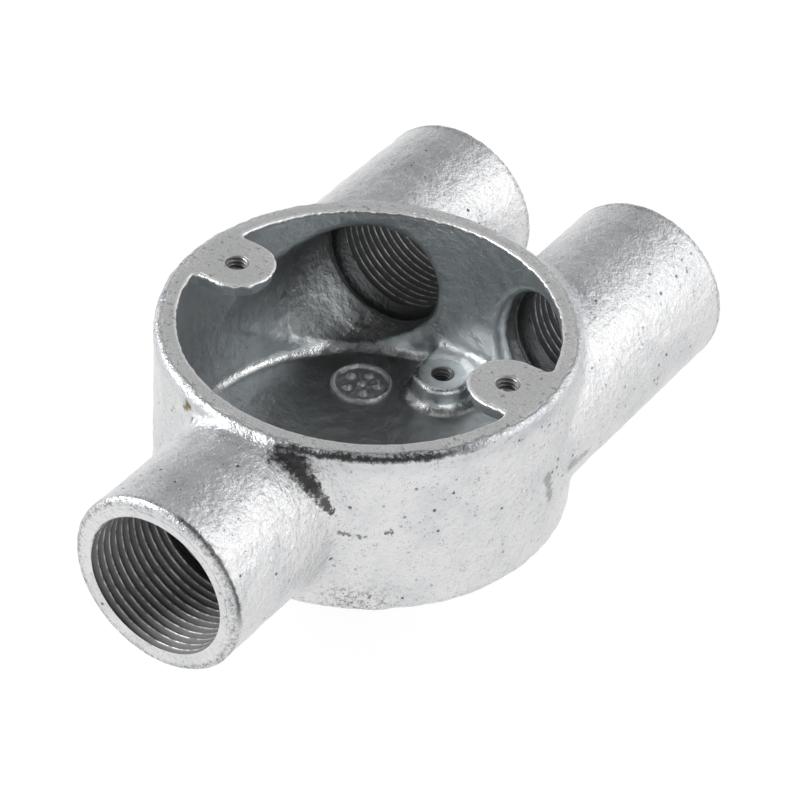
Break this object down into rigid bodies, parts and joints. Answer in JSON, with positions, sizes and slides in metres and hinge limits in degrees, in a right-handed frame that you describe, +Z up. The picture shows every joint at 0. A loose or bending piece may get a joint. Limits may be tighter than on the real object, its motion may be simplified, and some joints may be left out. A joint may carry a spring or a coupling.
{
  "type": "conduit body",
  "caption": "Round three-way Y conduit box of cast iron: one tapped spout on one side, two parallel tapped spouts on the other, open top with cover lugs.",
  "frame": {"origin": "on the drum's axis in the plane of the flat base, which is also the centre of the bounding box's bottom", "axes": "+Z up out of the open mouth; +Y along the two parallel spouts, away from the single one; +X across the two cover screws"},
  "size_m": [0.067, 0.11, 0.031],
  "materials": {
    "galvanised_iron": "hot-dip galvanised casting with a machined rim and cut threads"
  },
  "bodies": {
    "root": {"conduit_body": "galvanised_iron"}
  },
  "joints": []
}
